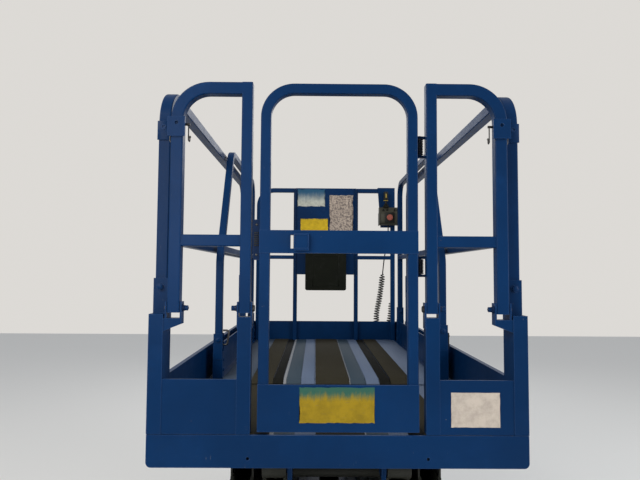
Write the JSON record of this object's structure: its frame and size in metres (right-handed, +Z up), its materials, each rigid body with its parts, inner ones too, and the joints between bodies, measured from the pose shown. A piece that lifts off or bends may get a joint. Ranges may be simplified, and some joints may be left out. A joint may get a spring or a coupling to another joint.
{
  "type": "scissor lift",
  "caption": "Self-propelled slab scissor lift: box chassis, stacked arm pairs with a cylinder, and a railed platform with an entry gate and a sliding deck extension.",
  "frame": {"origin": "on the floor under the middle of the machine", "axes": "+X to the machine's right seen from the entry gate, +Y forward to the steered wheels, +Z up"},
  "size_m": [1.17, 2.44, 2.2779],
  "materials": {
    "frame_blue": "worn semi-gloss",
    "chassis_blue": "semi-gloss",
    "arm_grey": "satin",
    "deck_plate": "anti-slip",
    "tyre": "matt",
    "rim": "satin",
    "steel": "satin",
    "rod_chrome": "polished",
    "black_plastic": "matt",
    "red_plastic": "gloss",
    "cord_rubber": "matt",
    "battery_case": "matt"
  },
  "bodies": {
    "chassis": {"chassis_spine": "chassis_blue", "end_plates": "chassis_blue", "wheel_covers": "chassis_blue", "guard_arms": "chassis_blue", "rear_axle": "steel", "front_axle": "steel", "entry_ladder": "frame_blue", "scissor_base": "chassis_blue"},
    "module_left": {"module_left": "chassis_blue"},
    "module_right": {"module_right": "chassis_blue", "battery_pack": "battery_case"},
    "guard_left": {"pothole_guard_left": "chassis_blue"},
    "guard_right": {"pothole_guard_right": "chassis_blue"},
    "knuckle_left": {"knuckle_left": "steel"},
    "knuckle_right": {"knuckle_right": "steel"},
    "barrel": {"lift_barrel": "arm_grey"},
    "rod": {"lift_rod": "rod_chrome"},
    "platform": {"platform_deck": "deck_plate", "platform_sides": "frame_blue", "rear_skirt": "frame_blue", "platform_beams": "frame_blue", "platform_hangers": "frame_blue", "platform_toe_boards": "frame_blue", "rail_stubs": "frame_blue"},
    "side_rail_left": {"side_rail_left": "frame_blue"},
    "side_rail_right": {"side_rail_right": "frame_blue"},
    "entry_rail_left": {"entry_rail_left": "frame_blue"},
    "entry_rail_right": {"entry_rail_right": "frame_blue"},
    "gate": {"entry_gate": "frame_blue", "gate_fittings": "black_plastic"},
    "extension": {"extension_deck": "frame_blue", "front_rail": "frame_blue", "manual_box": "black_plastic", "control_box": "black_plastic", "control_button": "red_plastic", "control_stick": "black_plastic", "cord_ends": "cord_rubber", "cord_curl": "cord_rubber"},
    "extension_rail_left": {"extension_rail_left": "frame_blue"},
    "extension_rail_right": {"extension_rail_right": "frame_blue"},
    "wheel_front_left": {"tyre_front_left": "tyre", "rim_front_left": "rim"},
    "wheel_front_right": {"tyre_front_right": "tyre", "rim_front_right": "rim"},
    "wheel_rear_left": {"tyre_rear_left": "tyre", "rim_rear_left": "rim"},
    "wheel_rear_right": {"tyre_rear_right": "tyre", "rim_rear_right": "rim"},
    "outer_arms_1": {"outer_arms_1": "arm_grey"},
    "inner_arms_1": {"inner_arms_1": "arm_grey"},
    "outer_arms_2": {"outer_arms_2": "arm_grey"},
    "inner_arms_2": {"inner_arms_2": "arm_grey"},
    "outer_arms_3": {"outer_arms_3": "arm_grey"},
    "inner_arms_3": {"inner_arms_3": "arm_grey"},
    "outer_arms_4": {"outer_arms_4": "arm_grey"},
    "inner_arms_4": {"inner_arms_4": "arm_grey"}
  },
  "joints": [
    {"name": "lift", "type": "hinge", "parent": "chassis", "child": "outer_arms_1", "pos_m": [0, -1.03, 0.485], "axis": [1, 0, 0], "range_deg": [0, 59.28]},
    {"name": "inner_arms_1_pivot", "type": "hinge", "parent": "outer_arms_1", "child": "inner_arms_1", "pos_m": [0, -0.00722, 0.5525], "axis": [1, 0, 0], "range_deg": [-119.06, 0]},
    {"name": "outer_arms_2_pivot", "type": "hinge", "parent": "inner_arms_1", "child": "outer_arms_2", "pos_m": [0, -1.03, 0.62], "axis": [1, 0, 0], "range_deg": [0, 119.06]},
    {"name": "inner_arms_2_pivot", "type": "hinge", "parent": "outer_arms_2", "child": "inner_arms_2", "pos_m": [0, -0.00722, 0.6875], "axis": [1, 0, 0], "range_deg": [-119.06, 0]},
    {"name": "outer_arms_3_pivot", "type": "hinge", "parent": "inner_arms_2", "child": "outer_arms_3", "pos_m": [0, -1.03, 0.755], "axis": [1, 0, 0], "range_deg": [0, 119.06]},
    {"name": "inner_arms_3_pivot", "type": "hinge", "parent": "outer_arms_3", "child": "inner_arms_3", "pos_m": [0, -0.00722, 0.8225], "axis": [1, 0, 0], "range_deg": [-119.06, 0]},
    {"name": "outer_arms_4_pivot", "type": "hinge", "parent": "inner_arms_3", "child": "outer_arms_4", "pos_m": [0, -1.03, 0.89], "axis": [1, 0, 0], "range_deg": [0, 119.06]},
    {"name": "inner_arms_4_pivot", "type": "hinge", "parent": "outer_arms_4", "child": "inner_arms_4", "pos_m": [0, -0.00722, 0.9575], "axis": [1, 0, 0], "range_deg": [-119.06, 0]},
    {"name": "platform_pivot", "type": "hinge", "parent": "inner_arms_4", "child": "platform", "pos_m": [0, -1.03, 1.025], "axis": [1, 0, 0], "range_deg": [0, 59.78]},
    {"name": "barrel_pivot", "type": "hinge", "parent": "inner_arms_2", "child": "barrel", "pos_m": [0, -0.31867, 0.6379], "axis": [1, 0, 0], "range_deg": [0, 121]},
    {"name": "rod_slide", "type": "slide", "parent": "barrel", "child": "rod", "axis": [0, 0.9883, 0.1527], "range_m": [0, 0.2645]},
    {"name": "wheel_rear_left_spin", "type": "hinge", "parent": "chassis", "child": "wheel_rear_left", "pos_m": [-0.5215, -0.925, 0.19], "axis": [1, 0, 0], "continuous": true},
    {"name": "wheel_rear_right_spin", "type": "hinge", "parent": "chassis", "child": "wheel_rear_right", "pos_m": [0.5215, -0.925, 0.19], "axis": [1, 0, 0], "continuous": true},
    {"name": "steer_right", "type": "hinge", "parent": "chassis", "child": "knuckle_right", "pos_m": [0.4, 0.925, 0.19], "axis": [0, 0, 1], "range_deg": [-90, 61]},
    {"name": "steer_left", "type": "hinge", "parent": "chassis", "child": "knuckle_left", "pos_m": [-0.4, 0.925, 0.19], "axis": [0, 0, 1], "range_deg": [-90, 61]},
    {"name": "wheel_front_left_spin", "type": "hinge", "parent": "knuckle_left", "child": "wheel_front_left", "pos_m": [-0.5215, 0.925, 0.19], "axis": [1, 0, 0], "continuous": true},
    {"name": "module_left_swing", "type": "hinge", "parent": "chassis", "child": "module_left", "pos_m": [-0.535, -0.63, 0.145], "axis": [0, 0, 1], "range_deg": [0, 80]},
    {"name": "guard_left_fold", "type": "hinge", "parent": "chassis", "child": "guard_left", "pos_m": [-0.515, -0.015, 0.112], "axis": [0, 1, 0], "range_deg": [0, 90]},
    {"name": "wheel_front_right_spin", "type": "hinge", "parent": "knuckle_right", "child": "wheel_front_right", "pos_m": [0.5215, 0.925, 0.19], "axis": [1, 0, 0], "continuous": true},
    {"name": "module_right_swing", "type": "hinge", "parent": "chassis", "child": "module_right", "pos_m": [0.535, -0.63, 0.145], "axis": [0, 0, -1], "range_deg": [0, 80]},
    {"name": "guard_right_fold", "type": "hinge", "parent": "chassis", "child": "guard_right", "pos_m": [0.515, -0.015, 0.112], "axis": [0, -1, 0], "range_deg": [0, 90]},
    {"name": "side_rail_left_fold", "type": "hinge", "parent": "platform", "child": "side_rail_left", "pos_m": [-0.561, -0.03, 1.604], "axis": [0, 1, 0], "range_deg": [0, 90]},
    {"name": "extension_rail_left_fold", "type": "hinge", "parent": "extension", "child": "extension_rail_left", "pos_m": [-0.51, 0.32, 1.345], "axis": [0, 1, 0], "range_deg": [0, 90]},
    {"name": "side_rail_right_fold", "type": "hinge", "parent": "platform", "child": "side_rail_right", "pos_m": [0.561, -0.03, 1.604], "axis": [0, -1, 0], "range_deg": [0, 84]},
    {"name": "extension_rail_right_fold", "type": "hinge", "parent": "extension", "child": "extension_rail_right", "pos_m": [0.51, 0.32, 1.39], "axis": [0, -1, 0], "range_deg": [0, 90]},
    {"name": "entry_rail_right_fold", "type": "hinge", "parent": "platform", "child": "entry_rail_right", "pos_m": [0.4, -1.13, 1.54], "axis": [-1, 0, 0], "range_deg": [0, 90]},
    {"name": "entry_rail_left_fold", "type": "hinge", "parent": "platform", "child": "entry_rail_left", "pos_m": [-0.4, -1.13, 1.54], "axis": [-1, 0, 0], "range_deg": [0, 90]},
    {"name": "gate_swing", "type": "hinge", "parent": "entry_rail_right", "child": "gate", "pos_m": [0.258, -1.11, 1.66], "axis": [0, 0, 1], "range_deg": [-90, 0], "stiffness_Nm_per_rad": 4, "springref_deg": 20.05},
    {"name": "extension_slide", "type": "slide", "parent": "platform", "child": "extension", "axis": [0, 1, 0], "range_m": [0, 0.91]}
  ],
  "couplings": [
    {"joint": "inner_arms_1_pivot", "follows": "lift", "ratio": -2},
    {"joint": "outer_arms_2_pivot", "follows": "lift", "ratio": 2},
    {"joint": "inner_arms_2_pivot", "follows": "lift", "ratio": -2},
    {"joint": "outer_arms_3_pivot", "follows": "lift", "ratio": 2},
    {"joint": "inner_arms_3_pivot", "follows": "lift", "ratio": -2},
    {"joint": "outer_arms_4_pivot", "follows": "lift", "ratio": 2},
    {"joint": "inner_arms_4_pivot", "follows": "lift", "ratio": -2},
    {"joint": "platform_pivot", "follows": "lift", "ratio": 1},
    {"joint": "barrel_pivot", "follows": "lift", "ratio": 2.0297},
    {"joint": "rod_slide", "follows": "lift", "m_per_rad": 0.25467},
    {"joint": "steer_left", "follows": "steer_right", "ratio": 1},
    {"joint": "extension_rail_left_fold", "follows": "side_rail_left_fold", "ratio": 1},
    {"joint": "extension_rail_right_fold", "follows": "side_rail_right_fold", "ratio": 1.0713},
    {"joint": "entry_rail_left_fold", "follows": "entry_rail_right_fold", "ratio": 1}
  ]
}
